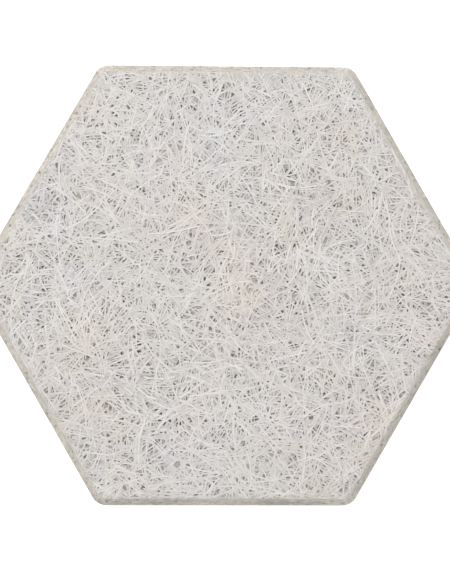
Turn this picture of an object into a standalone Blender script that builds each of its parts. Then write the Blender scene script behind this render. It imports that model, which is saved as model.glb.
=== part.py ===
"""A hexagonal acoustic panel of pressed wood wool, with a chamfer round its front face.

It is made in the order that the real board is. Long wood strands are laid over each
other on a core, and the pressed blank is sawn to a hexagon with rounded corners. A
chamfer is milled round its front, and gaps stay open where strands don't meet.

Sizes are in metres. The origin is the middle of the back face, +Z points out of the
front face, and two of the six sides run along X.
"""

import math
import random

import bmesh
import bpy

# The finished board
SIDES = 6
ACROSS_FLATS = 0.500
THICKNESS = 0.025
CORNER_RADIUS = 0.019
CORNER_STEPS = 5
CHAMFER_WIDTH = 0.0095
CHAMFER_DEPTH = 0.0095
LEAST_CORNER_RADIUS = 0.002

# The strands that stand out of the front face, from the lowest crest to the highest
STRAND_COUNT = 156
STRAND_LENGTH = 0.165
STRAND_WIDTH = 0.0032
MOST_STRAND_TURN = math.radians(40)
STRAND_STATIONS = (0.0, 0.10, 0.37, 0.63, 0.90, 1.0)
LOWEST_CREST = 0.0005
HIGHEST_CREST = 0.0014
END_TUCK = 0.0004
ROOT_DEPTH = 0.0010

# The gaps that strands leave between them, with their full size at the face
FRONT_GAP_COUNT = 100
BACK_GAP_COUNT = 46
GAP_LENGTH = 0.014
GAP_WIDTH = 0.0065
GAP_DEPTH = 0.0060
SMALLEST_GAP = 0.6
GAP_TO_SIDE = 0.009

# How the wool is laid, and how far a blank or a cutter runs past what it shapes
LAYING_SEED = 11
GOLDEN_ANGLE = math.pi * (3 - math.sqrt(5))
OVERRUN = 0.003

CORE_TOP = THICKNESS - HIGHEST_CREST
HALF_CORNER_TURN = math.pi / SIDES

# Pale wood under a thin coat of white cement, quite matt
BOARD_COLOUR = (0.63, 0.60, 0.57, 1.0)
BOARD_ROUGHNESS = 0.92


def clear_scene():
    """Removes whatever the file opened with."""
    for old in list(bpy.data.objects):
        bpy.data.objects.remove(old)


def coated_wood_wool():
    """The finish of the whole board."""
    material = bpy.data.materials.new("coated_wood_wool")
    material.use_nodes = True
    shader = material.node_tree.nodes["Principled BSDF"]
    shader.inputs["Base Color"].default_value = BOARD_COLOUR
    shader.inputs["Roughness"].default_value = BOARD_ROUGHNESS
    shader.inputs["Metallic"].default_value = 0.0
    return material


def closed_shape(name, fill):
    """An object whose mesh fill makes, with its faces pointing out."""
    shape = bmesh.new()
    fill(shape)
    bmesh.ops.recalc_face_normals(shape, faces=shape.faces)
    mesh = bpy.data.meshes.new(name)
    shape.to_mesh(mesh)
    shape.free()
    made = bpy.data.objects.new(name, mesh)
    bpy.context.scene.collection.objects.link(made)
    return made


def lofted(name, rings):
    """A closed skin over rings of points, which all have the same number of points."""

    def fill(shape):
        loops = [[shape.verts.new(point) for point in ring] for ring in rings]
        for lower, upper in zip(loops, loops[1:]):
            for i, corner in enumerate(lower):
                following = (i + 1) % len(lower)
                shape.faces.new((corner, lower[following], upper[following], upper[i]))
        shape.faces.new(loops[0])
        shape.faces.new(loops[-1])

    return closed_shape(name, fill)


def hexagon_ring(height, inset):
    """The board's rounded outline at a height, set in from the sawn sides by inset."""
    radius = max(CORNER_RADIUS - inset, LEAST_CORNER_RADIUS)
    arc_centre = (ACROSS_FLATS / 2 - inset - radius) / math.cos(HALF_CORNER_TURN)
    ring = []
    for corner in range(SIDES):
        heading = 2 * HALF_CORNER_TURN * corner
        for step in range(CORNER_STEPS + 1):
            turn = heading + HALF_CORNER_TURN * (2 * step / CORNER_STEPS - 1)
            x = arc_centre * math.cos(heading) + radius * math.cos(turn)
            y = arc_centre * math.sin(heading) + radius * math.sin(turn)
            ring.append((x, y, height))
    return ring


def pressed_core():
    """The core before it is sawn, larger than the board all round and below."""
    return lofted(
        "wood_wool_panel",
        [hexagon_ring(-OVERRUN, -OVERRUN), hexagon_ring(CORE_TOP, -OVERRUN)],
    )


def sawn_and_milled_shape():
    """What the saw and the milling cutter leave: upright sides and a chamfered front."""
    chamfer_foot = THICKNESS - CHAMFER_DEPTH
    inset_past_face = CHAMFER_WIDTH * (CHAMFER_DEPTH + OVERRUN) / CHAMFER_DEPTH
    return lofted(
        "sawn_and_milled_shape",
        [
            hexagon_ring(0.0, 0.0),
            hexagon_ring(chamfer_foot, 0.0),
            hexagon_ring(THICKNESS + OVERRUN, inset_past_face),
        ],
    )


def scattered_places(count):
    """Places spread evenly over the circle through the hexagon's sharp corners."""
    reach = ACROSS_FLATS / 2 / math.cos(HALF_CORNER_TURN)
    for index in range(count):
        distance = reach * math.sqrt((index + 0.5) / count)
        turn = index * GOLDEN_ANGLE
        yield distance * math.cos(turn), distance * math.sin(turn)


def distance_to_side(place):
    """How far inside the nearest of the sawn sides a place is."""
    normals = [HALF_CORNER_TURN * (2 * side + 1) for side in range(SIDES)]
    reach = max(place[0] * math.cos(n) + place[1] * math.sin(n) for n in normals)
    return ACROSS_FLATS / 2 - reach


def strand(name, middle, heading, turn, crest):
    """A three-sided strand that bends by turn. Both of its ends dip under the core's top."""
    root = CORE_TOP - ROOT_DEPTH
    half_base = STRAND_WIDTH / 2 * (crest - root) / (crest - CORE_TOP)
    rings = []
    for share in STRAND_STATIONS:
        along = (share - 0.5) * STRAND_LENGTH
        bend = (share - 0.5) * turn
        x = middle[0] + along * math.cos(heading + bend / 2)
        y = middle[1] + along * math.sin(heading + bend / 2)
        side_x = -half_base * math.sin(heading + bend)
        side_y = half_base * math.cos(heading + bend)
        top = CORE_TOP - END_TUCK if share in (0.0, 1.0) else crest
        rings.append(
            [(x - side_x, y - side_y, root), (x + side_x, y + side_y, root), (x, y, top)]
        )
    return lofted(name, rings)


def lay_strands(pile):
    """Lays the strands at random headings, each with its crest at a level of its own."""
    chance = random.Random(LAYING_SEED)
    levels = list(range(1, STRAND_COUNT + 1))
    chance.shuffle(levels)
    for index, middle in enumerate(scattered_places(STRAND_COUNT)):
        share = levels[index] / STRAND_COUNT
        crest = CORE_TOP + LOWEST_CREST + (HIGHEST_CREST - LOWEST_CREST) * share
        heading = chance.uniform(0, math.pi)
        turn = chance.uniform(-MOST_STRAND_TURN, MOST_STRAND_TURN)
        put_in(pile, strand(f"strand_{index}", middle, heading, turn, crest))


def gap_between_strands(name, place, face_height, inward, heading, scale):
    """A sharp four-sided hole that runs inward (1 up, -1 down) from a face to a point."""
    depth = GAP_DEPTH * scale
    wider = (depth + OVERRUN) / depth

    def fill(shape):
        mouth = []
        for step in range(4):
            size = (GAP_LENGTH, GAP_WIDTH)[step % 2]
            reach = size / 2 * scale * wider
            x = place[0] + reach * math.cos(heading + step * math.pi / 2)
            y = place[1] + reach * math.sin(heading + step * math.pi / 2)
            mouth.append(shape.verts.new((x, y, face_height - inward * OVERRUN)))
        tip = shape.verts.new((*place, face_height + inward * depth))
        shape.faces.new(mouth)
        for step in range(4):
            shape.faces.new((mouth[step], mouth[(step + 1) % 4], tip))

    return closed_shape(name, fill)


def leave_gaps(pile, count, face_height, inward):
    """Leaves gaps at the scattered places of one face that are clear of the sides."""
    chance = random.Random(LAYING_SEED + count)
    margin = GAP_TO_SIDE + GAP_LENGTH / 2
    for index, place in enumerate(scattered_places(count)):
        heading = chance.uniform(0, math.pi)
        scale = chance.uniform(SMALLEST_GAP, 1)
        if distance_to_side(place) > margin:
            name = f"gap_{count}_{index}"
            gap = gap_between_strands(name, place, face_height, inward, heading, scale)
            put_in(pile, gap)


def put_in(pile, tool):
    """Hides a shape that only joins or cuts, and moves it to its pile."""
    tool.hide_render = True
    tool.display_type = "WIRE"
    bpy.context.scene.collection.objects.unlink(tool)
    pile.objects.link(tool)


def new_pile(name):
    """A collection for the shapes that one Boolean joins or cuts with."""
    pile = bpy.data.collections.new(name)
    bpy.context.scene.collection.children.link(pile)
    return pile


def add_boolean(board, operation, pile):
    """One Boolean of the board with every shape in a pile."""
    step = board.modifiers.new(pile.name, "BOOLEAN")
    step.operation = operation
    step.solver = "EXACT"
    step.operand_type = "COLLECTION"
    step.collection = pile


def make_panel():
    """Lays the strands on the core, saws and mills the blank, and opens the gaps."""
    board = pressed_core()
    strands = new_pile("strands")
    lay_strands(strands)
    add_boolean(board, "UNION", strands)
    outline = new_pile("sawing_and_milling")
    put_in(outline, sawn_and_milled_shape())
    add_boolean(board, "INTERSECT", outline)
    gaps = new_pile("gaps")
    leave_gaps(gaps, FRONT_GAP_COUNT, THICKNESS, -1)
    leave_gaps(gaps, BACK_GAP_COUNT, 0.0, 1)
    add_boolean(board, "DIFFERENCE", gaps)
    board.data.materials.append(coated_wood_wool())


clear_scene()
make_panel()
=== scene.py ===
"""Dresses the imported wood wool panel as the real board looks.

The board is long strands of wood, coated with pale cement, pressed into one mat and
sawn to a hexagon with a chamfer milled round its front. A closed board with the sawn
sides, the chamfer and the deep floor of the mat comes first, and layers of real strands
are laid over its front and its back with Geometry Nodes.

Everything is in metres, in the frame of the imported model: the origin is the middle of
the back face, +Z points out of the front face and two of the six sides run along X.
"""

from __future__ import annotations

import logging
import math
from dataclasses import dataclass
from enum import Enum
from typing import Any

import bpy
import numpy as np
from mathutils import Euler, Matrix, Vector, noise


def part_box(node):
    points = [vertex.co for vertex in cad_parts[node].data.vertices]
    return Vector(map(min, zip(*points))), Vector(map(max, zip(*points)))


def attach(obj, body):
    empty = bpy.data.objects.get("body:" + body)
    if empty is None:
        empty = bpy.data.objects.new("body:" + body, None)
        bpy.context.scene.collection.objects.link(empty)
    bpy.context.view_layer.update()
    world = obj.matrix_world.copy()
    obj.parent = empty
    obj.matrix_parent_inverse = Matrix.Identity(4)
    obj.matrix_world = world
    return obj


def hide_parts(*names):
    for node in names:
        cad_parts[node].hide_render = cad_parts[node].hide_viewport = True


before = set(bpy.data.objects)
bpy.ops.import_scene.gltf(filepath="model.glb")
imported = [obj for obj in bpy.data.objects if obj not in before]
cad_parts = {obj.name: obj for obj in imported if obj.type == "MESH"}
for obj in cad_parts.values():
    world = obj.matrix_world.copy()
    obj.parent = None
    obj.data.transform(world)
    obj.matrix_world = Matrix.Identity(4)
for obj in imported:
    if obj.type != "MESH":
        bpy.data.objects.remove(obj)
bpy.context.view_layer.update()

BODY = "root"
NODE = "wood_wool_panel"
MM = 0.001
SIXTH = math.pi / 3
UP = (0.0, 0.0, 1.0)
SHARP_ANGLE = math.radians(50)

# Points tried on each square of the spacing, of which the Poisson scatter keeps about one
CROWD = 3.0

# How far apart two strands read the same noise, so that no two of them bend alike
APART = 500.0

# How far apart the tints read the same noise, so that their patches don't coincide
TINT_STEP = 5.0

MATH = "ShaderNodeMath"
VECTOR_MATH = "ShaderNodeVectorMath"
COMBINE = "ShaderNodeCombineXYZ"
NOISE = "ShaderNodeTexNoise"
MAP_RANGE = "ShaderNodeMapRange"
MIX = "ShaderNodeMix"
RANDOM = "FunctionNodeRandomValue"
STORE = "GeometryNodeStoreNamedAttribute"
READ = "GeometryNodeInputNamedAttribute"
DELETE = "GeometryNodeDeleteGeometry"
COMPARE = "FunctionNodeCompare"

log = logging.getLogger("wood_wool_panel")

# A ring of points, and how much painted shade each has, from 0 to 1 in an open pit, which also stands
# for a thinner coat there
Ring = tuple[np.ndarray, np.ndarray]

# What a node's inputs take, by their names or in the order of those in use
Feeds = dict[str, Any] | tuple[Any, ...]


class Face(Enum):
    """The face of the board that a layer of strands lies on."""

    FRONT = "front"
    BACK = "back"


def linear(colour: str) -> tuple[float, float, float, float]:
    """Turns a colour from sRGB to the linear values that shaders take.

    Args:
        colour: The colour as #RRGGBB.

    Returns:
        Linear red, green and blue, and an alpha of 1.
    """
    channels = [int(colour[i : i + 2], 16) / 255 for i in (1, 3, 5)]
    red, green, blue = (c / 12.92 if c <= 0.04045 else ((c + 0.055) / 1.055) ** 2.4 for c in channels)
    return red, green, blue, 1.0


def feed(tree: bpy.types.NodeTree, node: bpy.types.Node, feeds: Feeds) -> None:
    """Sets or links a node's inputs.

    Args:
        tree: The tree that holds the node.
        node: The node.
        feeds: What the inputs take. Each is a value, a socket, or a node, whose first
            output in use is then linked.
    """
    in_use = [socket for socket in node.inputs if socket.enabled]
    if isinstance(feeds, dict):
        targets = {socket.name: socket for socket in reversed(in_use)}
    else:
        targets = dict(enumerate(in_use))
        feeds = dict(enumerate(feeds))
    for key, value in feeds.items():
        if isinstance(value, bpy.types.Node):
            value = next(socket for socket in value.outputs if socket.enabled)
        if isinstance(value, bpy.types.NodeSocket):
            tree.links.new(value, targets[key])
        else:
            targets[key].default_value = value


def add_node(
    tree: bpy.types.NodeTree, kind: str, feeds: Feeds = (), operation: str = "", **settings: Any
) -> bpy.types.Node:
    """Adds one node with its settings and with what feeds its inputs.

    Args:
        tree: The tree that gets the node.
        kind: Blender's name for this kind of node.
        feeds: What its inputs take, as feed has it.
        operation: What it does, if it is a node that calculates.
        settings: Its other settings.

    Returns:
        The new node.
    """
    node = tree.nodes.new(kind)
    if operation:
        settings["operation"] = operation
    for name, value in settings.items():
        setattr(node, name, value)
    feed(tree, node, feeds)
    return node


def new_material(name: str) -> tuple[bpy.types.Material, bpy.types.NodeTree]:
    """Makes a material that has one Principled shader.

    Args:
        name: The material's name.

    Returns:
        The material and its tree.
    """
    material = bpy.data.materials.new(name)
    material.use_nodes = True
    return material, material.node_tree


def coat_surface(
    tree: bpy.types.NodeTree,
    base: str,
    coats: list[tuple[Any, str]],
    roughness: float,
    bump: bpy.types.Node,
) -> None:
    """Lays coats of colour over a base, and gives the result to the material's shader.

    Args:
        tree: The material's tree.
        base: The colour under the coats.
        coats: The share of each coat, from 0 to 1, and its colour, the lowest coat first.
        roughness: How rough the surface is.
        bump: The node that gives its relief.
    """
    colour = linear(base)
    for share, coat in coats:
        feeds = {"Factor": share, "A": colour, "B": linear(coat)}
        colour = add_node(tree, MIX, feeds, data_type="RGBA")
    shader = tree.nodes["Principled BSDF"]
    feed(tree, shader, {"Base Color": colour, "Roughness": roughness, "Normal": bump})


def add_piece(name: str, mesh: bpy.types.Mesh) -> bpy.types.Object:
    """Adds an object for a finished mesh, at the origin.

    Args:
        name: The piece's name.
        mesh: Its mesh.

    Returns:
        The piece.
    """
    piece = bpy.data.objects.new(name, mesh)
    bpy.context.scene.collection.objects.link(piece)
    return piece


@dataclass(frozen=True)
class BoardOutline:
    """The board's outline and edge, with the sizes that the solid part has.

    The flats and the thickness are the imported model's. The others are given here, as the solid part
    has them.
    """

    across_flats: float
    thickness: float
    corner_radius: float = 19 * MM
    chamfer: float = 9.5 * MM

    @property
    def apothem(self) -> float:
        """Half the distance across the flats."""
        return self.across_flats / 2

    @property
    def chamfer_foot(self) -> float:
        """The height at which the chamfer starts."""
        return self.thickness - self.chamfer

    def walk(self, inset: float, count: int) -> tuple[np.ndarray, np.ndarray]:
        """Walks once round the outline in even steps.

        Args:
            inset: How far the outline is set in from the sawn sides.
            count: The number of steps.

        Returns:
            The points and the outward directions there, one row for each step.
        """
        radius = max(self.corner_radius - inset, 0.0)
        arc_centre = self.apothem - inset - radius
        half_straight = arc_centre * math.tan(SIXTH / 2)
        lap = 2 * half_straight + radius * SIXTH
        travelled = (np.arange(count) / count * 6 + 0.5) % 6
        side = np.floor(travelled)
        on_side = (travelled - side - 0.5) * lap
        past = np.clip(np.abs(on_side) - half_straight, 0, None) * np.sign(on_side)
        middle = SIXTH * (side + 0.5)
        heading = middle + (past / radius if radius > 0 else past)
        straight = np.clip(on_side, -half_straight, half_straight)
        x = arc_centre * np.cos(middle) - straight * np.sin(middle)
        y = arc_centre * np.sin(middle) + straight * np.cos(middle)
        outward = np.stack([np.cos(heading), np.sin(heading)], 1)
        return np.stack([x, y], 1) + radius * outward, outward


@dataclass(frozen=True)
class CoatedStrandFinish:
    """Wood wool under sprayed cement: dead matt, pale, and darker deep in the mat, partly from a
    thinner coat and partly as painted shade.

    To the eye it is chalky. The crests are pale grey, each strand a little lighter or warmer than the
    next, and what lies deeper is darker: partly the thinner coat it had, and partly painted shade of
    the mat's hollows. The real grain of the cement is too fine to show, so it is drawn coarser.
    """

    name: str
    # outer_level and deep_level: where the painted shade of the deep mat starts and where it is full
    outer_level: float
    deep_level: float
    pale: str = "#D6D3D2"
    grey: str = "#B6B3B1"
    warm: str = "#D4C8C4"
    straw: str = "#CFC9B2"
    cool: str = "#CBCCCF"
    # deep: painted shade deep in the mat, which also stands for the thinner coat there
    deep: str = "#A7A3A0"
    warm_patch: float = 70 * MM
    straw_patch: float = 50 * MM
    cool_patch: float = 160 * MM
    tint_from: float = 0.36
    tint_full: float = 0.74
    most_tint: float = 0.42
    cement_grain: float = 0.9 * MM
    grain_height: float = 0.15 * MM
    grain_strength: float = 0.35
    roughness: float = 0.94

    def make(self) -> bpy.types.Material:
        """Makes the material.

        Returns:
            The material. It reads each strand's tone, and how deep in the mat it lies.
        """
        material, tree = new_material(self.name)
        place = add_node(tree, "ShaderNodeTexCoord").outputs["Object"]
        tone = add_node(tree, "ShaderNodeAttribute", attribute_name="tone").outputs["Fac"]
        coats = [(tone, self.pale)]
        tints = (
            (self.warm, self.warm_patch),
            (self.straw, self.straw_patch),
            (self.cool, self.cool_patch),
        )
        tinted = {"From Min": self.tint_from, "From Max": self.tint_full, "To Max": self.most_tint}
        for number, (tint, patch) in enumerate(tints):
            feeds = {"Vector": place, "W": TINT_STEP * number, "Scale": 1 / patch, "Detail": 3.0}
            spread = add_node(tree, NOISE, feeds, noise_dimensions="4D")
            coats.append((add_node(tree, MAP_RANGE, {"Value": spread, **tinted}), tint))
        # Painted shade: the deeper the surface lies in the mat, the darker it is, partly for its
        # thinner coat
        height = add_node(tree, "ShaderNodeSeparateXYZ", {"Vector": place}).outputs["Z"]
        feeds = {"Value": height, "From Min": self.outer_level, "From Max": self.deep_level}
        depth = add_node(tree, MAP_RANGE, feeds, interpolation_type="SMOOTHSTEP")
        coats.append((depth, self.deep))
        feeds = {"Vector": place, "Scale": 1 / self.cement_grain, "Detail": 2.0}
        grain = add_node(tree, NOISE, feeds)
        feeds = {"Height": grain, "Strength": self.grain_strength, "Distance": self.grain_height}
        bump = add_node(tree, "ShaderNodeBump", feeds)
        coat_surface(tree, self.grey, coats, self.roughness, bump)
        return material


@dataclass(frozen=True)
class MilledRimFinish:
    """Wood wool cut by the saw and the milling cutter, then given the same thin coat.

    To the eye it is smoother and more beige than the face, with faint streaks along the edge where
    strands are cut through. Where the cut opened a gap, and on the mat's deep floor, it is dark:
    partly a thinner coat and partly painted shade. Grey dashes that crowd toward the lower right, away
    from the lamp, are painted shade.
    """

    name: str = "milled_wood_wool"
    pale: str = "#C4BFB6"
    streak: str = "#A29C95"
    # deep: painted shade of the pits and of the mat's deep floor, which also stands for their thinner
    # coat
    deep: str = "#6E675F"
    sprayed: str = "#C4BFB7"
    # shade: painted shade, in grey dashes that crowd on the lower sides, away from the lamp
    shade: str = "#8A8886"
    streak_length: float = 14 * MM
    streak_height: float = 1.4 * MM
    streak_relief: float = 0.3 * MM
    streak_strength: float = 0.4
    streak_from: float = 0.8
    streak_full: float = 1.4
    tone_share: float = 0.3
    mottle: float = 5 * MM
    spray_top: float = 24.5 * MM
    spray_foot: float = 19.5 * MM
    spray_ragged: float = 6 * MM
    most_spray: float = 0.6
    # The dashes are painted shade: dash_seed puts their patches on the lower sides, and the direction
    # after them makes them crowd toward the lower right
    dash_length: float = 9 * MM
    dash_height: float = 2 * MM
    dash_group: float = 60 * MM
    dash_seed: float = 1.0
    dash_from: float = 1.17
    dash_full: float = 1.32
    most_dash: float = 0.5
    painted_shade_toward: tuple[float, float, float] = (0.35, -0.6, 0.0)
    roughness: float = 0.9

    def make(self) -> bpy.types.Material:
        """Makes the material.

        Returns:
            The material. It reads each strand's tone, and where the cut opened a pit.
        """
        material, tree = new_material(self.name)
        place = add_node(tree, "ShaderNodeTexCoord").outputs["Object"]
        tone = add_node(tree, "ShaderNodeAttribute", attribute_name="tone").outputs["Fac"]
        # The pit attribute is the painted shade of pits and of the deep floors
        pit = add_node(tree, "ShaderNodeAttribute", attribute_name="pit").outputs["Fac"]
        height = add_node(tree, "ShaderNodeSeparateXYZ", {"Vector": place}).outputs["Z"]
        streaks = self._drawn_out(tree, place, self.streak_length, self.streak_height, 3.0)
        mottle = add_node(tree, NOISE, {"Vector": place, "Scale": 1 / self.mottle, "Detail": 2.0})
        both = add_node(tree, MATH, (streaks, mottle), "ADD")
        blend = add_node(tree, MATH, (tone, self.tone_share, both), "MULTIPLY_ADD")
        feeds = {"Value": blend, "From Min": self.streak_from, "From Max": self.streak_full}
        streaked = add_node(tree, MAP_RANGE, feeds)
        ragged = add_node(tree, MATH, (mottle, self.spray_ragged, height), "MULTIPLY_ADD")
        feeds = {
            "Value": ragged,
            "From Min": self.spray_foot + self.spray_ragged / 2,
            "From Max": self.spray_top + self.spray_ragged / 2,
            "To Max": self.most_spray,
        }
        sprayed = add_node(tree, MAP_RANGE, feeds)
        # Painted shade: grey dashes in patches that grow toward the lower right, away from the lamp
        dashes = self._drawn_out(tree, place, self.dash_length, self.dash_height, 2.0)
        feeds = {"Vector": place, "W": self.dash_seed, "Scale": 1 / self.dash_group, "Detail": 1.0}
        groups = add_node(tree, NOISE, feeds, noise_dimensions="4D")
        toward_shade = add_node(tree, VECTOR_MATH, (place, self.painted_shade_toward), "DOT_PRODUCT")
        for part in (groups, toward_shade):
            dashes = add_node(tree, MATH, (dashes, part), "ADD")
        feeds = {"From Min": self.dash_from, "From Max": self.dash_full, "To Max": self.most_dash}
        dashed = add_node(tree, MAP_RANGE, {"Value": dashes, **feeds})
        coats = [
            (streaked, self.streak),
            (sprayed, self.sprayed),
            (dashed, self.shade),
            (pit, self.deep),
        ]
        feeds = {"Height": both, "Strength": self.streak_strength, "Distance": self.streak_relief}
        bump = add_node(tree, "ShaderNodeBump", feeds)
        coat_surface(tree, self.pale, coats, self.roughness, bump)
        return material

    @staticmethod
    def _drawn_out(
        tree: bpy.types.NodeTree, place: Any, length: float, height: float, detail: float
    ) -> bpy.types.Node:
        """Adds a noise that is drawn out level, as the strands lie in the cut.

        Args:
            tree: The tree to add to.
            place: The place that the noise is read at.
            length: Its size along the edge.
            height: Its size up the edge.
            detail: How many finer noises it has in it.

        Returns:
            The noise.
        """
        scale = (1 / length, 1 / length, 1 / height)
        stretched = add_node(tree, "ShaderNodeMapping", {"Vector": place, "Scale": scale})
        return add_node(tree, NOISE, {"Vector": stretched, "Scale": 1.0, "Detail": detail})


@dataclass
class PressedBoard:
    """The closed board under the strands: sawn sides, chamfer, and the mat's deep floor."""

    outline: BoardOutline
    edge_step: float = 1.2 * MM
    floor_step: float = 4 * MM
    lip_depth: float = 0.9 * MM
    lip_width: float = 9 * MM
    lip_patch: float = 12 * MM
    shallow_floor: float = 1.8 * MM
    deep_floor: float = 4.2 * MM
    floor_patch: float = 45 * MM
    floor_contrast: float = 1.1
    # Painted shade of the front's deep floor: the deeper it lies, the darker it is, which also stands
    # for its thinner coat
    dark_from: float = 1 * MM
    dark_range: float = 2 * MM
    darkest: float = 0.6
    back_floor: float = 2.4 * MM
    back_margin: float = 3 * MM
    # Painted shade of the back's floor under the strands, which also stands for its thinner coat
    back_dark: float = 0.35
    cut_grain: float = 2.2 * MM
    cut_relief: float = 0.3 * MM
    pit_size: float = 3.2 * MM
    pit_depth: float = 0.9 * MM
    pit_from: float = 0.44
    pit_range: float = 0.2
    pit_shift: tuple[float, float, float] = (7.3, 1.9, 4.1)

    def build(self, material: bpy.types.Material) -> bpy.types.Object:
        """Builds the board as one closed mesh.

        Args:
            material: The board's material.

        Returns:
            The finished piece.
        """
        rings = [*self._back_rings(), *self._edge_rings(), *self._front_rings()]
        faces: list[tuple[int, int, int]] = []
        start = 0
        for place, (ring, _) in enumerate(rings):
            if place:
                before = len(rings[place - 1][0])
                faces += self._stitch(start - before, before, start, len(ring))
            start += len(ring)
        points = np.concatenate([ring for ring, _ in rings])
        pits = np.concatenate([pit for _, pit in rings])
        mesh = bpy.data.meshes.new("pressed_board")
        mesh.from_pydata(points.tolist(), [], faces)
        # The pit attribute carries the painted shade of pits and of the deep floors
        attribute = mesh.attributes.new("pit", "FLOAT", "POINT")
        attribute.data.foreach_set("value", pits.astype(np.float32))
        mesh.shade_smooth()
        mesh.materials.append(material)
        return add_piece("pressed_board", mesh)

    @staticmethod
    def _stitch(a: int, m: int, b: int, n: int) -> list[tuple[int, int, int]]:
        """Joins two rings of points with triangles.

        Args:
            a: The index of the first ring's first point.
            m: How many points the first ring has.
            b: The index of the next ring's first point.
            n: How many points the next ring has.

        Returns:
            The triangles, as indices of their corners.
        """
        if m == 1:
            return [(a, b + (i + 1) % n, b + i) for i in range(n)]
        if n == 1:
            return [(a + i, a + (i + 1) % m, b) for i in range(m)]
        faces = []
        i = j = 0
        while i < m or j < n:
            if j >= n or (i < m and (i + 1) * n <= (j + 1) * m):
                faces.append((a + i % m, a + (i + 1) % m, b + j % n))
                i += 1
            else:
                faces.append((a + i % m, b + (j + 1) % n, b + j % n))
                j += 1
        return faces

    def _back_rings(self) -> list[Ring]:
        """Lays out the back's floor.

        Returns:
            Its rings, from the middle outwards.
        """
        count = round(self.outline.apothem / self.floor_step)
        rings = []
        for step in range(count):
            inset = self.outline.apothem * (1 - step / count)
            flat, _ = self.outline.walk(inset, max(6 * step, 1))
            heights = np.full(len(flat), self.back_floor)
            # The back's floor gets an even painted shade
            rings.append((np.column_stack([flat, heights]), np.full(len(flat), self.back_dark)))
        return rings

    def _edge_rings(self) -> list[Ring]:
        """Lays out the sides and the chamfer.

        The two rings at the back's edge stay true, and the ones past them have cut grain
        and pits.

        Returns:
            Their rings, from the back's edge to the front's lip.
        """
        o = self.outline
        count = 6 * round(2 * o.apothem * math.tan(SIXTH / 2) / self.edge_step)
        upright, slanted = (1.0, 0.0), (math.sqrt(0.5), math.sqrt(0.5))
        side_rows = round(o.chamfer_foot / self.edge_step)
        rise = o.chamfer - self.lip_depth
        slope_rows = round(rise * math.sqrt(2) / self.edge_step)
        profile = [(0.0, self.back_margin, (0.0, -1.0))]
        for row in range(side_rows + 1):
            profile.append((o.chamfer_foot * row / side_rows, 0.0, upright))
        for row in range(1, slope_rows + 1):
            climb = rise * row / slope_rows
            profile.append((o.chamfer_foot + climb, climb, slanted))
        rings = []
        for row, (height, inset, (out, up)) in enumerate(profile):
            flat, outward = o.walk(inset, count)
            normal = np.column_stack([outward * out, np.full(count, up)])
            ring = np.column_stack([flat, np.full(count, height)])
            depth, pit = self._wear(ring) if row > 1 else (np.zeros(count),) * 2
            rings.append((ring - normal * depth[:, None], pit))
        return rings

    def _wear(self, ring: np.ndarray) -> tuple[np.ndarray, np.ndarray]:
        """Roughens the cut surface, and opens pits in it.

        Args:
            ring: The points of a ring, one in each row.

        Returns:
            How deep the surface lies at each point, and how much of a pit is there.
        """
        depth = np.empty(len(ring))
        pit = np.empty(len(ring))
        for i, point in enumerate(ring.tolist()):
            place = Vector(point)
            rough = 0.5 + 0.5 * noise.noise(place / self.cut_grain)
            opened = noise.noise(place / self.pit_size + Vector(self.pit_shift))
            # The pit's share is also how much painted shade the material gives it
            pit[i] = min(max((opened - self.pit_from) / self.pit_range, 0.0), 1.0)
            depth[i] = rough * self.cut_relief + pit[i] * self.pit_depth
        return depth, pit

    def _front_rings(self) -> list[Ring]:
        """Lays out the deep floor of the front's mat.

        Returns:
            Its rings, from the lip inwards.
        """
        o = self.outline
        lip = o.apothem - o.chamfer + self.lip_depth
        count = round(lip / self.floor_step)
        rings = []
        for step in range(count - 1, -1, -1):
            inset = o.apothem - lip * step / count
            flat, _ = o.walk(inset, max(6 * step, 1))
            from_lip = lip - (o.apothem - inset)
            depths = np.array([self._floor_depth(x, y, from_lip) for x, y in flat.tolist()])
            # Painted shade: the deeper the floor, the darker it is, which also stands for its thinner
            # coat
            pits = np.clip((depths - self.dark_from) / self.dark_range, 0, self.darkest)
            rings.append((np.column_stack([flat, o.thickness - depths]), pits))
        return rings

    def _floor_depth(self, x: float, y: float, from_lip: float) -> float:
        """How deep the front's floor is, which is less where cement filled the mat.

        Args:
            x: The place along X.
            y: The place along Y.
            from_lip: How far inside the lip the place is.

        Returns:
            The depth under the front face.
        """
        place = Vector((x, y, 0.0))
        filled = 0.5 + self.floor_contrast * noise.noise(place / self.floor_patch)
        filled = min(max(filled, 0.0), 1.0)
        depth = self.deep_floor + (self.shallow_floor - self.deep_floor) * filled
        reach = self.lip_width * (1 + noise.noise(place / self.lip_patch))
        share = min(from_lip / reach, 1.0)
        share = share * share * (3 - 2 * share)
        return self.lip_depth + (depth - self.lip_depth) * share


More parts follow.
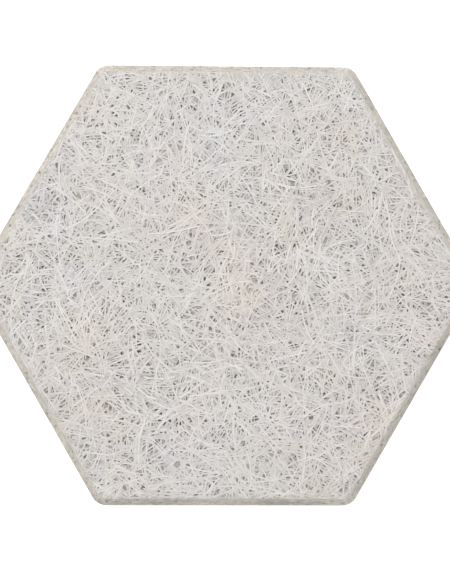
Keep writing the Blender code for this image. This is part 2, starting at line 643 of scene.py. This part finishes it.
class LaidStrands:
    """Strands that Geometry Nodes lay over a ground, a mesh that only says where.

    A layer names the sizes that its tree takes, and gives its ground and its nodes. It
    keeps the tree, and what the tree is given, for the methods that add to it.
    """

    TREE_SIZES: tuple[str, ...] = ()
    name: str
    tree: bpy.types.NodeTree
    given: Any

    def build(self, material: bpy.types.Material) -> bpy.types.Object:
        """Lays the strands and turns them into a plain mesh.

        Args:
            material: The strands' material.

        Returns:
            The finished piece.
        """
        values = self._start_tree({**self._sizes(), "Material": material})
        real = self._add("GeometryNodeRealizeInstances", {"Geometry": self._lay()})
        feeds = {"Geometry": real, "Material": self.given["Material"]}
        dressed = self._add("GeometryNodeSetMaterial", feeds)
        self._add("NodeGroupOutput", {"Geometry": dressed})
        ground = add_piece(self.name + "_ground", self._ground())
        laying = ground.modifiers.new("laying", "NODES")
        laying.node_group = self.tree
        for identifier, value in values.items():
            laying[identifier] = value
        graph = bpy.context.evaluated_depsgraph_get()
        graph.update()
        laid = ground.evaluated_get(graph)
        mesh = bpy.data.meshes.new_from_object(laid, preserve_all_data_layers=True, depsgraph=graph)
        ground.modifiers.clear()
        bpy.data.objects.remove(ground)
        mesh.set_sharp_from_angle(angle=SHARP_ANGLE)
        return add_piece(self.name, mesh)

    def _start_tree(self, values: dict[str, Any]) -> dict[str, Any]:
        """Starts the layer's tree, with named inputs for its sizes and its material.

        Args:
            values: The value of each named input.

        Returns:
            The same values, by the identifiers of their inputs.
        """
        self.tree = bpy.data.node_groups.new("lay_" + self.name, "GeometryNodeTree")
        new_socket = self.tree.interface.new_socket
        new_socket("Geometry", in_out="INPUT", socket_type="NodeSocketGeometry")
        identified = {}
        for title, value in values.items():
            kind = {int: "Int", float: "Float"}.get(type(value), "Material")
            socket = new_socket(title, in_out="INPUT", socket_type="NodeSocket" + kind)
            identified[socket.identifier] = value
        new_socket("Geometry", in_out="OUTPUT", socket_type="NodeSocketGeometry")
        self.given = self._add("NodeGroupInput").outputs
        return identified

    def _add(
        self, kind: str, feeds: Feeds = (), operation: str = "", **settings: Any
    ) -> bpy.types.Node:
        """Adds a node to the layer's tree, as add_node does."""
        return add_node(self.tree, kind, feeds, operation, **settings)

    def _draw_shares(self, names: tuple[str, ...]) -> dict[str, bpy.types.Node]:
        """Draws a random share from 0 to 1 for each point and each name.

        Args:
            names: What the shares are for. Their number and order decide what is drawn.

        Returns:
            The share that goes with each name.
        """
        index = self._add("GeometryNodeInputIndex")
        draws = {}
        for number, name in enumerate(names):
            own = self._add(MATH, (index, float(len(names)), float(number)), "MULTIPLY_ADD")
            draws[name] = self._add(RANDOM, {"ID": own, "Seed": self.given["Seed"]})
        return draws

    def _scatter_points(self) -> Any:
        """Scatters points over the ground, each at least the spacing away from the next.

        Returns:
            The outputs of the node that scatters: the points, and the ground's normal there.
        """
        spacing = self.given["Spacing"]
        square = self._add(MATH, (spacing, spacing), "MULTIPLY")
        crowd = self._add(MATH, (CROWD, square), "DIVIDE")
        feeds = {"Mesh": self.given["Geometry"], "Distance Min": spacing, "Density Max": crowd}
        feeds["Seed"] = self.given["Seed"]
        kind = "GeometryNodeDistributePointsOnFaces"
        return self._add(kind, feeds, distribute_method="POISSON").outputs

    def _sizes(self) -> dict[str, float | int]:
        """The value of each of the tree's named inputs."""
        return {size.replace("_", " ").title(): getattr(self, size) for size in self.TREE_SIZES}

    def _ground(self) -> bpy.types.Mesh:
        """The mesh that the strands are scattered over."""
        raise NotImplementedError

    def _lay(self) -> bpy.types.Node:
        """Adds the nodes that make the strands, and gives the last."""
        raise NotImplementedError


@dataclass
class StrandLayer(LaidStrands):
    """One layer of strands over the whole of a face, cut flush at the board's edge."""

    name: str
    face: Face
    outline: BoardOutline
    lowest: float
    highest: float
    spacing: float
    width: float
    thickness: float
    seed: int
    openness: float = 0.0
    open_patch: float = 30 * MM
    open_from: float = 0.4
    open_full: float = 0.65
    bundle: int = 1
    bundle_gap: float = 3.1 * MM
    bundle_stray: float = 0.3
    slip: float = 10 * MM
    fan: float = math.radians(8)
    length: float = 22 * MM
    length_spread: float = 26 * MM
    bend: float = math.radians(40)
    wander: float = 4 * MM
    wander_length: float = 34 * MM
    weave: float = 2.0 * MM
    weave_length: float = 14 * MM
    roll: float = math.radians(10)
    twist: float = math.radians(40)
    thinnest: float = 0.65
    station_gap: float = 8 * MM
    cut_gap: float = 1.5 * MM
    shortest: float = 6 * MM

    TREE_SIZES = (
        "spacing", "openness", "bundle", "bundle_gap", "bundle_stray", "slip", "fan", "length",
        "length_spread", "width", "thickness", "thinnest", "lowest", "highest", "bend", "wander",
        "wander_length", "weave", "weave_length", "roll", "twist", "station_gap", "cut_gap",
        "shortest", "seed",
    )

    def _sizes(self) -> dict[str, float | int]:
        """Adds what the cut at the board's edge needs.

        Returns:
            The value of each of the tree's named inputs.
        """
        o = self.outline
        on_front = self.face is Face.FRONT
        return {
            **super()._sizes(),
            "Arc Centre": o.apothem - o.corner_radius,
            "Corner Radius": o.corner_radius + (o.chamfer_foot if on_front else 0.0),
            "Corner Slope": 1.0 if on_front else 0.0,
        }

    def _ground(self) -> bpy.types.Mesh:
        """Makes the ground that strands start from, past the edge so that it fills too.

        Returns:
            A flat hexagon.
        """
        reach = (self.outline.apothem + self.length / 2) / math.cos(SIXTH / 2)
        turns = [SIXTH * corner for corner in range(6)]
        corners = [(reach * math.cos(t), reach * math.sin(t), 0.0) for t in turns]
        mesh = bpy.data.meshes.new(self.name + "_ground")
        mesh.from_pydata(corners, [], [tuple(range(6))])
        return mesh

    def _lay(self) -> bpy.types.Node:
        """Adds the nodes that make the strands, and gives the last."""
        paths = self._bend_and_place(self._scatter())
        return self._sweep(self._cut_at_edge(paths))

    def _scatter(self) -> bpy.types.Node:
        """Scatters bundles, and gives each of their strands its place, level and girth.

        A bundle is a few shavings that came off the log together. They lie side by side,
        bend alike and fan out a little, so the slits between them are long and narrow.

        Returns:
            One point for each strand, with what it is given as named attributes.
        """
        points = self._thin_in_patches(self._scatter_points()["Points"])
        names = ("heading", "bend", "fan", "roll", "aside", "slip", "reach", "level", "tone", "girth")
        draws = self._draw_shares(names)
        swings = {
            name: self._add(MAP_RANGE, {"Value": draws[name], "To Min": -1.0})
            for name in ("bend", "fan", "roll", "aside", "slip")
        }
        bend, roll, slip = (
            self._add(MATH, (swings[name], self.given[name.title()]), "MULTIPLY")
            for name in ("bend", "roll", "slip")
        )
        heading = self._add(MATH, (draws["heading"], math.pi), "MULTIPLY")
        for name, value in (("heading", heading), ("bend", bend)):
            points = self._add(STORE, {"Geometry": points, "Name": name, "Value": value})
        feeds = {"Geometry": points, "Amount": self.given["Bundle"]}
        copies = self._add("GeometryNodeDuplicateElements", feeds, domain="POINT").outputs
        shared = self._add(READ, {"Name": "heading"})
        heading = self._add(MATH, (swings["fan"], self.given["Fan"], shared), "MULTIPLY_ADD")
        girth = self._add(MAP_RANGE, {"Value": draws["girth"], "To Min": self.given["Thinnest"]})
        feeds = (draws["reach"], self.given["Length Spread"], self.given["Length"])
        reach = self._add(MATH, feeds, "MULTIPLY_ADD")
        span = {"To Min": self.given["Lowest"], "To Max": self.given["Highest"]}
        level = self._add(MAP_RANGE, {"Value": draws["level"], **span})
        feeds = (swings["aside"], self.given["Bundle Stray"], copies["Duplicate Index"])
        place = self._add(MATH, feeds, "MULTIPLY_ADD")
        aside = self._add(MATH, (place, self.given["Bundle Gap"]), "MULTIPLY")
        ahead, left = self._axes(heading)
        home = self._add("GeometryNodeInputPosition")
        for axis, distance in ((left, aside), (ahead, slip)):
            move = self._add(VECTOR_MATH, (axis, distance), "SCALE")
            home = self._add(VECTOR_MATH, (home, move), "ADD")
        feeds = {"Geometry": copies["Geometry"], "Name": "home", "Value": home}
        points = self._add(STORE, feeds, data_type="FLOAT_VECTOR")
        own = {
            "heading": heading,
            "roll": roll,
            "reach": reach,
            "level": level,
            "girth": girth,
            "tone": draws["tone"],
        }
        for name, value in own.items():
            points = self._add(STORE, {"Geometry": points, "Name": name, "Value": value})
        return points

    def _thin_in_patches(self, points: Any) -> bpy.types.Node:
        """Leaves out some points, more of them where a patch of the mat lies open.

        Args:
            points: The points.

        Returns:
            The points that stay.
        """
        place = self._add("GeometryNodeInputPosition")
        patch = self._add(NOISE, {"Vector": place, "Scale": 1 / self.open_patch, "Detail": 2.0})
        feeds = {"From Min": self.open_from, "From Max": self.open_full}
        share = self._add(MAP_RANGE, {"Value": patch, "To Max": self.given["Openness"], **feeds})
        chance = self._draw_shares(("open",))["open"]
        left_out = self._add(COMPARE, {"A": chance, "B": share}, "LESS_THAN")
        return self._add(DELETE, {"Geometry": points, "Selection": left_out}, domain="POINT")

    def _axes(self, heading: bpy.types.Node) -> tuple[bpy.types.Node, bpy.types.Node]:
        """Turns a heading into level directions.

        Args:
            heading: The heading, from +X round to +Y.

        Returns:
            The direction ahead, and the one to the left of it.
        """
        cosine = self._add(MATH, (heading,), "COSINE")
        sine = self._add(MATH, (heading,), "SINE")
        ahead = self._add(COMBINE, {"X": cosine, "Y": sine})
        left = self._add(VECTOR_MATH, (UP, ahead), "CROSS_PRODUCT")
        return ahead, left

    def _bend_and_place(self, homes: bpy.types.Node) -> bpy.types.Node:
        """Turns each strand's point into its path.

        Args:
            homes: One point for each strand.

        Returns:
            The paths, as curves with a point every cut gap or closer.
        """
        ends = {"Start": (0.0, 0.0, 0.0), "End": (1.0, 0.0, 0.0)}
        line = self._add("GeometryNodeCurvePrimitiveLine", ends, mode="POINTS")
        longest = self._add(MATH, (self.given["Length"], self.given["Length Spread"]), "ADD")
        count = self._add(MATH, (longest, self.given["Cut Gap"]), "DIVIDE")
        line = self._add("GeometryNodeResampleCurve", {"Curve": line, "Count": count}, mode="COUNT")
        lines = self._add("GeometryNodeInstanceOnPoints", {"Points": homes, "Instance": line})
        lines = self._add("GeometryNodeRealizeInstances", {"Geometry": lines})
        read = {
            name: self._add(READ, {"Name": name})
            for name in ("heading", "bend", "reach", "level", "tone")
        }
        home = self._add(READ, {"Name": "home"}, data_type="FLOAT_VECTOR")
        factor = self._add("GeometryNodeSplineParameter").outputs["Factor"]
        share = self._add(MATH, (factor, 0.5), "SUBTRACT")
        along = self._add(MATH, (share, read["reach"]), "MULTIPLY")
        half_bend = self._add(MATH, (read["bend"], 0.5), "MULTIPLY")
        chord = self._add(MATH, (share, half_bend, read["heading"]), "MULTIPLY_ADD")
        ahead, left = self._axes(chord)
        run = self._add(VECTOR_MATH, (ahead, along), "SCALE")
        own = self._add(MATH, (read["tone"], APART), "MULTIPLY")
        swings = {}
        for name, noise_level in (("Wander", 6.0), ("Weave", 5.0)):
            wave = self._add(MATH, (along, self.given[name + " Length"]), "DIVIDE")
            own_place = self._add(COMBINE, {"X": wave, "Y": own, "Z": noise_level})
            swing = self._add(NOISE, {"Vector": own_place, "Scale": 1.0, "Detail": 1.0})
            swings[name] = self._add(MATH, (swing, 0.5), "SUBTRACT")
        aside = self._add(MATH, (swings["Wander"], self.given["Wander"]), "MULTIPLY")
        height = self._add(MATH, (swings["Weave"], self.given["Weave"], read["level"]), "MULTIPLY_ADD")
        swerve = self._add(VECTOR_MATH, (left, aside), "SCALE")
        up = self._add(COMBINE, {"Z": height})
        place = home
        for move in (run, swerve, up):
            place = self._add(VECTOR_MATH, (place, move), "ADD")
        return self._add("GeometryNodeSetPosition", {"Geometry": lines, "Position": place})

    def _cut_at_edge(self, paths: bpy.types.Node) -> bpy.types.Node:
        """Cuts the paths just past the chamfer, or just past the side on the back.

        Args:
            paths: The paths, with points close together.

        Returns:
            What is left of the paths, with points a station gap apart.
        """
        past = self._past_edge()
        outside = self._add(COMPARE, {"A": past, "B": self.given["Cut Gap"]}, "GREATER_THAN")
        paths = self._add(DELETE, {"Geometry": paths, "Selection": outside}, domain="POINT")
        length = self._add("GeometryNodeSplineLength").outputs["Length"]
        short = self._add(COMPARE, {"A": length, "B": self.given["Shortest"]}, "LESS_THAN")
        paths = self._add(DELETE, {"Geometry": paths, "Selection": short}, domain="CURVE")
        feeds = {"Curve": paths, "Length": self.given["Station Gap"]}
        return self._add("GeometryNodeResampleCurve", feeds, mode="LENGTH")

    def _past_edge(self) -> bpy.types.Node:
        """How far each point is past the chamfer, or past the side on the back.

        Each point is turned to the side that it is nearest to. There, the outline is the
        inner hexagon through the corners' arc centres, grown by the corners' radius,
        which on the front shrinks with height as the chamfer leans in.

        Returns:
            The level distance past the edge, below zero inside it.
        """
        place = self._add("GeometryNodeInputPosition")
        parts = self._add("ShaderNodeSeparateXYZ", {"Vector": place}).outputs
        turn = self._add(MATH, (parts["Y"], parts["X"]), "ARCTAN2")
        half = SIXTH / 2
        from_side = self._add(MATH, (turn, half), "SUBTRACT")
        folded = self._add(MATH, (from_side, half, -half), "WRAP")
        flat = self._add(COMBINE, {"X": parts["X"], "Y": parts["Y"]})
        radius = self._add(VECTOR_MATH, (flat,), "LENGTH")
        ahead, _ = self._axes(folded)
        turned = self._add(VECTOR_MATH, (ahead, radius), "SCALE")
        turned = self._add(VECTOR_MATH, (turned,), "ABSOLUTE")
        half_side = self._add(MATH, (self.given["Arc Centre"], math.tan(half)), "MULTIPLY")
        inner = self._add(COMBINE, {"X": self.given["Arc Centre"], "Y": half_side})
        past = self._add(VECTOR_MATH, (turned, inner), "SUBTRACT")
        past = self._add(VECTOR_MATH, (past, (0.0, 0.0, 0.0)), "MAXIMUM")
        reach = self._add(VECTOR_MATH, (past,), "LENGTH")
        lean = self._add(MATH, (parts["Z"], self.given["Corner Slope"]), "MULTIPLY")
        limit = self._add(MATH, (self.given["Corner Radius"], lean), "SUBTRACT")
        return self._add(MATH, (reach, limit), "SUBTRACT")

    def _mill_flush(self, strands: bpy.types.Node) -> bpy.types.Node:
        """Moves what stands past the chamfer or the side back to it.

        Args:
            strands: The strands' mesh, whose ends are just past the edge.

        Returns:
            The strands, with their ends flush with the milled or sawn surface.
        """
        past = self._add(MATH, (self._past_edge(), 0.0), "MAXIMUM")
        share = self._add(MATH, (past, self.given["Arc Centre"]), "DIVIDE")
        back = self._add(MATH, (share, -1.0), "MULTIPLY")
        place = self._add("GeometryNodeInputPosition")
        flat = self._add(VECTOR_MATH, (place, (1.0, 1.0, 0.0)), "MULTIPLY")
        offset = self._add(VECTOR_MATH, (flat, back), "SCALE")
        return self._add("GeometryNodeSetPosition", {"Geometry": strands, "Offset": offset})

    def _sweep(self, paths: bpy.types.Node) -> bpy.types.Node:
        """Sweeps a flat, four-sided section along each path.

        Args:
            paths: The strands' paths.

        Returns:
            The strands, as a mesh.
        """
        place = self._add("GeometryNodeInputPosition")
        twist = self._add(NOISE, {"Vector": place, "Scale": 1 / self.wander_length})
        twist = self._add(MATH, (twist, 0.5), "SUBTRACT")
        own = self._add(READ, {"Name": "roll"})
        twist = self._add(MATH, (twist, self.given["Twist"], own), "MULTIPLY_ADD")
        girth = self._add(READ, {"Name": "girth"})
        paths = self._add("GeometryNodeSetCurveNormal", {"Curve": paths}, mode="Z_UP")
        paths = self._add("GeometryNodeSetCurveTilt", {"Curve": paths, "Tilt": twist})
        sides = {"Width": self.given["Width"], "Height": self.given["Thickness"]}
        section = self._add("GeometryNodeCurvePrimitiveQuadrilateral", sides)
        swept = {"Curve": paths, "Profile Curve": section, "Scale": girth, "Fill Caps": True}
        strands = self._mill_flush(self._add("GeometryNodeCurveToMesh", swept))
        return self._add("GeometryNodeSetShadeSmooth", {"Geometry": strands})


@dataclass
class CutStrandLayer(LaidStrands):
    """Short lengths of strand that the saw and the cutter left lying in the board's edge.

    They are scattered over the sawn sides and the chamfer, most of them nearly level, as
    the strands lie in the board.
    """

    outline: BoardOutline
    name: str = "edge_strands"
    lowest: float = 1.8 * MM
    lip_depth: float = 1.2 * MM
    spacing: float = 2.2 * MM
    length: float = 2 * MM
    length_spread: float = 4.5 * MM
    width: float = 0.9 * MM
    thickness: float = 0.4 * MM
    thinnest: float = 0.5
    sink: float = 0.2 * MM
    slope: float = math.radians(14)
    foot_gap: float = 0.9 * MM
    wall_step: float = 6 * MM
    seed: int = 69

    TREE_SIZES = (
        "spacing", "length", "length_spread", "width", "thickness", "thinnest", "sink", "slope",
        "seed",
    )

    def _ground(self) -> bpy.types.Mesh:
        """Makes the ground that the strands lie on, clear of the edge in its middle.

        Returns:
            The sawn sides and the chamfer, as two open bands.
        """
        o = self.outline
        count = 6 * round(2 * o.apothem * math.tan(SIXTH / 2) / self.wall_step)
        climb = o.chamfer - self.lip_depth
        rows = (
            (self.lowest, 0.0),
            (o.chamfer_foot - self.foot_gap, 0.0),
            (o.chamfer_foot + self.foot_gap, self.foot_gap),
            (o.chamfer_foot + climb, climb),
        )
        points: list[tuple[float, float, float]] = []
        for height, inset in rows:
            flat, _ = o.walk(inset, count)
            points += [(x, y, height) for x, y in flat.tolist()]
        faces = []
        for row in (0, 2 * count):
            for i in range(count):
                j = (i + 1) % count
                faces.append((row + i, row + j, row + count + j, row + count + i))
        mesh = bpy.data.meshes.new(self.name + "_ground")
        mesh.from_pydata(points, [], faces)
        return mesh

    def _lay(self) -> bpy.types.Node:
        """Scatters the strands, each turned along the edge and sunk into it a little.

        Returns:
            The strands, as instances of a cube.
        """
        scattered = self._scatter_points()
        draws = self._draw_shares(("slope", "length", "width", "tone"))
        normal = scattered["Normal"]
        level = self._add(VECTOR_MATH, (UP, normal), "CROSS_PRODUCT")
        upward = self._add(VECTOR_MATH, (normal, level), "CROSS_PRODUCT")
        swing = self._add(MAP_RANGE, {"Value": draws["slope"], "To Min": -1.0})
        slope = self._add(MATH, (swing, self.given["Slope"]), "MULTIPLY")
        rise = self._add(VECTOR_MATH, (upward, slope), "SCALE")
        ahead = self._add(VECTOR_MATH, (level, rise), "ADD")
        feeds = {"Primary Axis": normal, "Secondary Axis": ahead}
        turn = self._add("FunctionNodeAxesToRotation", feeds)
        feeds = (draws["length"], self.given["Length Spread"], self.given["Length"])
        length = self._add(MATH, feeds, "MULTIPLY_ADD")
        girth = self._add(MAP_RANGE, {"Value": draws["width"], "To Min": self.given["Thinnest"]})
        width = self._add(MATH, (girth, self.given["Width"]), "MULTIPLY")
        size = self._add(COMBINE, {"X": length, "Y": width, "Z": self.given["Thickness"]})
        down = self._add(MATH, (self.given["Sink"], -1.0), "MULTIPLY")
        inward = self._add(VECTOR_MATH, (normal, down), "SCALE")
        feeds = {"Geometry": scattered["Points"], "Offset": inward}
        points = self._add("GeometryNodeSetPosition", feeds)
        points = self._add(STORE, {"Geometry": points, "Name": "tone", "Value": draws["tone"]})
        cube = self._add("GeometryNodeMeshCube", {"Size": (1.0, 1.0, 1.0)}).outputs["Mesh"]
        feeds = {"Points": points, "Instance": cube, "Rotation": turn, "Scale": size}
        return self._add("GeometryNodeInstanceOnPoints", feeds)


@dataclass
class WoolBoard:
    """The whole panel: the closed board, and the strands on its faces and in its edge."""

    outline: BoardOutline
    # The depths under each face where the strands' painted shade of the deep mat starts and where it
    # is full
    front_pale_depth: float = 0.8 * MM
    front_dark_depth: float = 2.3 * MM
    back_pale_depth: float = 0.6 * MM
    back_dark_depth: float = 2.4 * MM

    def build(self) -> None:
        """Builds every piece and puts it on the part's body."""
        milled = MilledRimFinish().make()
        self._keep(PressedBoard(self.outline).build(milled))
        self._keep(CutStrandLayer(self.outline).build(milled))
        top = self.outline.thickness
        levels = (top - self.front_pale_depth, top - self.front_dark_depth)
        front = CoatedStrandFinish("coated_front_strands", *levels)
        levels = (self.back_pale_depth, self.back_dark_depth)
        back = CoatedStrandFinish("coated_back_strands", *levels)
        finishes = {Face.FRONT: front.make(), Face.BACK: back.make()}
        for layer in self._layers():
            self._keep(layer.build(finishes[layer.face]))

    def _layers(self) -> list[StrandLayer]:
        """Lists the layers of strands.

        A row has a layer's name and face, the two depths under the face that it lies
        between, the spacing, width and thickness of its strands, its seed, and what else
        it has of its own.

        Returns:
            The layers, the deepest of each face first.
        """
        open_patches = {"openness": 0.15}
        long_pairs = {"bundle": 2, "length": 24 * MM, "length_spread": 40 * MM, **open_patches}
        rows = (
            ("front_strands_deep", Face.FRONT, 2.8, 2.1, 6.2, 2.8, 0.7, 3, {}),
            ("front_strands_middle", Face.FRONT, 1.8, 1.4, 6.2, 2.1, 0.6, 14, {}),
            ("front_strands_upper", Face.FRONT, 1.5, 1.1, 5.7, 2.0, 0.5, 25, open_patches),
            ("front_strands_crest", Face.FRONT, 1.4, 1.0, 10.8, 1.7, 0.4, 36, long_pairs),
            ("back_strands_deep", Face.BACK, 1.4, 2.0, 6.6, 2.8, 0.6, 47, {"weave": 1.0 * MM}),
            ("back_strands_outer", Face.BACK, 0.7, 1.0, 6.6, 2.4, 0.4, 58, {"weave": 0.8 * MM}),
        )
        layers = []
        for name, face, *sizes, seed, own in rows:
            lowest, highest, spacing, width, thickness = (size * MM for size in sizes)
            if face is Face.FRONT:
                lowest = self.outline.thickness - lowest
                highest = self.outline.thickness - highest
            levels = (self.outline, lowest, highest)
            layers.append(StrandLayer(name, face, *levels, spacing, width, thickness, seed, **own))
        return layers

    def _keep(self, piece: bpy.types.Object) -> None:
        """Puts a piece on the part's body in place of the plain solid, and reports it.

        Args:
            piece: The piece.
        """
        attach(piece, BODY)
        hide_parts(NODE)
        triangles = sum(len(face.vertices) - 2 for face in piece.data.polygons)
        log.info("%s: %d triangles", piece.name, triangles)


@dataclass(frozen=True)
class Studio:
    """A white floor, soft light from the upper left, and the camera straight above."""

    target: tuple[float, float, float] = (-0.45 * MM, -1.05 * MM, 15.5 * MM)
    distance: float = 1.8
    focal_length_mm: float = 99.6
    tilt_degrees: tuple[float, float, float] = (1.3, -1.54, 0.25)
    floor_size: float = 8.0
    floor_colour: str = "#F4F4F4"
    floor_glow: float = 0.55
    sky_strength: float = 0.83
    lamp_watts: float = 99.5
    lamp_width: float = 3.7
    lamp_distance: float = 4.0
    lamp_tilt_degrees: float = 35.0
    lamp_azimuth_degrees: float = 124.0

    def build(self) -> None:
        """Builds the floor, the lights and the camera."""
        self._floor()
        self._lights()
        self._camera()
        bpy.context.scene.view_settings.view_transform = "Standard"

    def _floor(self) -> None:
        """A plain white floor. It glows a little, as an overlit backdrop does."""
        half = self.floor_size / 2
        mesh = bpy.data.meshes.new("studio_floor")
        corners = [(-half, -half, 0), (half, -half, 0), (half, half, 0), (-half, half, 0)]
        mesh.from_pydata(corners, [], [(0, 1, 2, 3)])
        material, tree = new_material("white_studio_floor")
        colour = linear(self.floor_colour)
        glow = {"Emission Color": colour, "Emission Strength": self.floor_glow}
        shader = tree.nodes["Principled BSDF"]
        feed(tree, shader, {"Base Color": colour, "Roughness": 1.0, **glow})
        mesh.materials.append(material)
        add_piece("studio_floor", mesh)

    def _lights(self) -> None:
        """An even white sky and one broad lamp that leans to the upper left."""
        world = bpy.data.worlds.new("white_studio")
        world.use_nodes = True
        sky = world.node_tree.nodes["Background"]
        white = (1.0, 1.0, 1.0, 1.0)
        feed(world.node_tree, sky, {"Color": white, "Strength": self.sky_strength})
        bpy.context.scene.world = world
        lamp = bpy.data.lights.new("broad_lamp", "AREA")
        lamp.shape = "DISK"
        lamp.energy = self.lamp_watts
        lamp.size = self.lamp_width
        holder = bpy.data.objects.new("broad_lamp", lamp)
        lean = math.radians(self.lamp_tilt_degrees)
        turn = math.radians(self.lamp_azimuth_degrees)
        low = math.sin(lean)
        toward = Vector((low * math.cos(turn), low * math.sin(turn), math.cos(lean)))
        holder.location = self.lamp_distance * toward
        holder.rotation_euler = toward.to_track_quat("Z", "Y").to_euler()
        bpy.context.scene.collection.objects.link(holder)

    def _camera(self) -> None:
        """The camera, as far and as tilted as the six corners in the photo show."""
        camera = bpy.data.cameras.new("camera")
        camera.lens = self.focal_length_mm
        holder = bpy.data.objects.new("camera", camera)
        tilt = Euler([math.radians(angle) for angle in self.tilt_degrees])
        holder.rotation_euler = tilt
        back = tilt.to_matrix() @ Vector((0, 0, 1))
        holder.location = Vector(self.target) + self.distance * back
        bpy.context.scene.collection.objects.link(holder)
        bpy.context.scene.camera = holder


def main() -> None:
    """Builds the panel and the studio."""
    logging.basicConfig(level=logging.INFO, format="%(name)s: %(message)s")
    low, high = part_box(NODE)
    outline = BoardOutline(across_flats=high.y - low.y, thickness=high.z)
    WoolBoard(outline).build()
    Studio().build()


if __name__ == "__main__":
    main()
